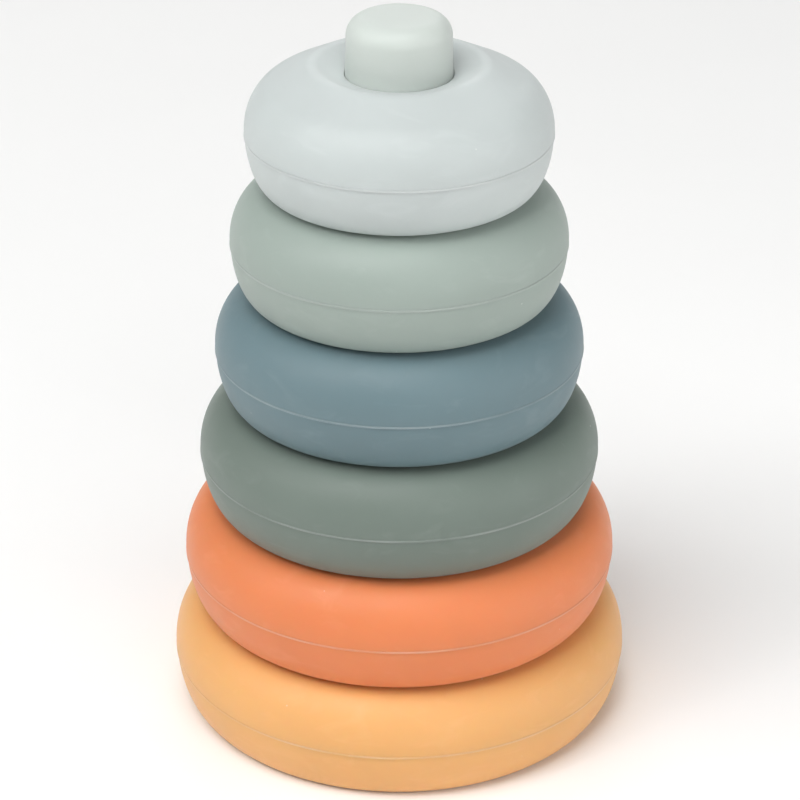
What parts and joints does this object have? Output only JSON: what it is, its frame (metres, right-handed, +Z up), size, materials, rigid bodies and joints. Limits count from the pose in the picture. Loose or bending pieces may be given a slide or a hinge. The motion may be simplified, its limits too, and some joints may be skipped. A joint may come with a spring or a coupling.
{
  "type": "stacking ring toy",
  "caption": "Soft silicone stacking toy: graded hollow rings that lift off a tapered peg standing in a flat round base.",
  "frame": {"origin": "centre of the base's flat underside, on the surface that the toy stands on", "axes": "+Z up along the peg, which is the axis of every ring"},
  "size_m": [0.1, 0.1, 0.1577],
  "materials": {
    "apricot_silicone": "matte silicone with a soft sheen",
    "orange_silicone": "matte silicone with a soft sheen",
    "dark_sage_silicone": "matte silicone with a soft sheen",
    "dusty_blue_silicone": "matte silicone with a soft sheen",
    "light_sage_silicone": "matte silicone with a soft sheen",
    "pale_blue_silicone": "matte silicone with a soft sheen",
    "off_white_silicone": "matte silicone with a soft sheen"
  },
  "bodies": {
    "base": {"base_lower_shell": "apricot_silicone", "base_upper_shell": "apricot_silicone", "peg": "off_white_silicone"},
    "ring_1": {"ring_1_lower_shell": "orange_silicone", "ring_1_upper_shell": "orange_silicone"},
    "ring_2": {"ring_2_lower_shell": "dark_sage_silicone", "ring_2_upper_shell": "dark_sage_silicone"},
    "ring_3": {"ring_3_lower_shell": "dusty_blue_silicone", "ring_3_upper_shell": "dusty_blue_silicone"},
    "ring_4": {"ring_4_lower_shell": "light_sage_silicone", "ring_4_upper_shell": "light_sage_silicone"},
    "ring_5": {"ring_5_lower_shell": "pale_blue_silicone", "ring_5_upper_shell": "pale_blue_silicone"}
  },
  "joints": [
    {"name": "ring_1_lift", "type": "slide", "parent": "base", "child": "ring_1", "axis": [0, 0, 1], "range_m": [0, 0.138]},
    {"name": "ring_2_lift", "type": "slide", "parent": "ring_1", "child": "ring_2", "axis": [0, 0, 1], "range_m": [0, 0.114]},
    {"name": "ring_3_lift", "type": "slide", "parent": "ring_2", "child": "ring_3", "axis": [0, 0, 1], "range_m": [0, 0.09]},
    {"name": "ring_4_lift", "type": "slide", "parent": "ring_3", "child": "ring_4", "axis": [0, 0, 1], "range_m": [0, 0.066]},
    {"name": "ring_5_lift", "type": "slide", "parent": "ring_4", "child": "ring_5", "axis": [0, 0, 1], "range_m": [0, 0.042]}
  ]
}
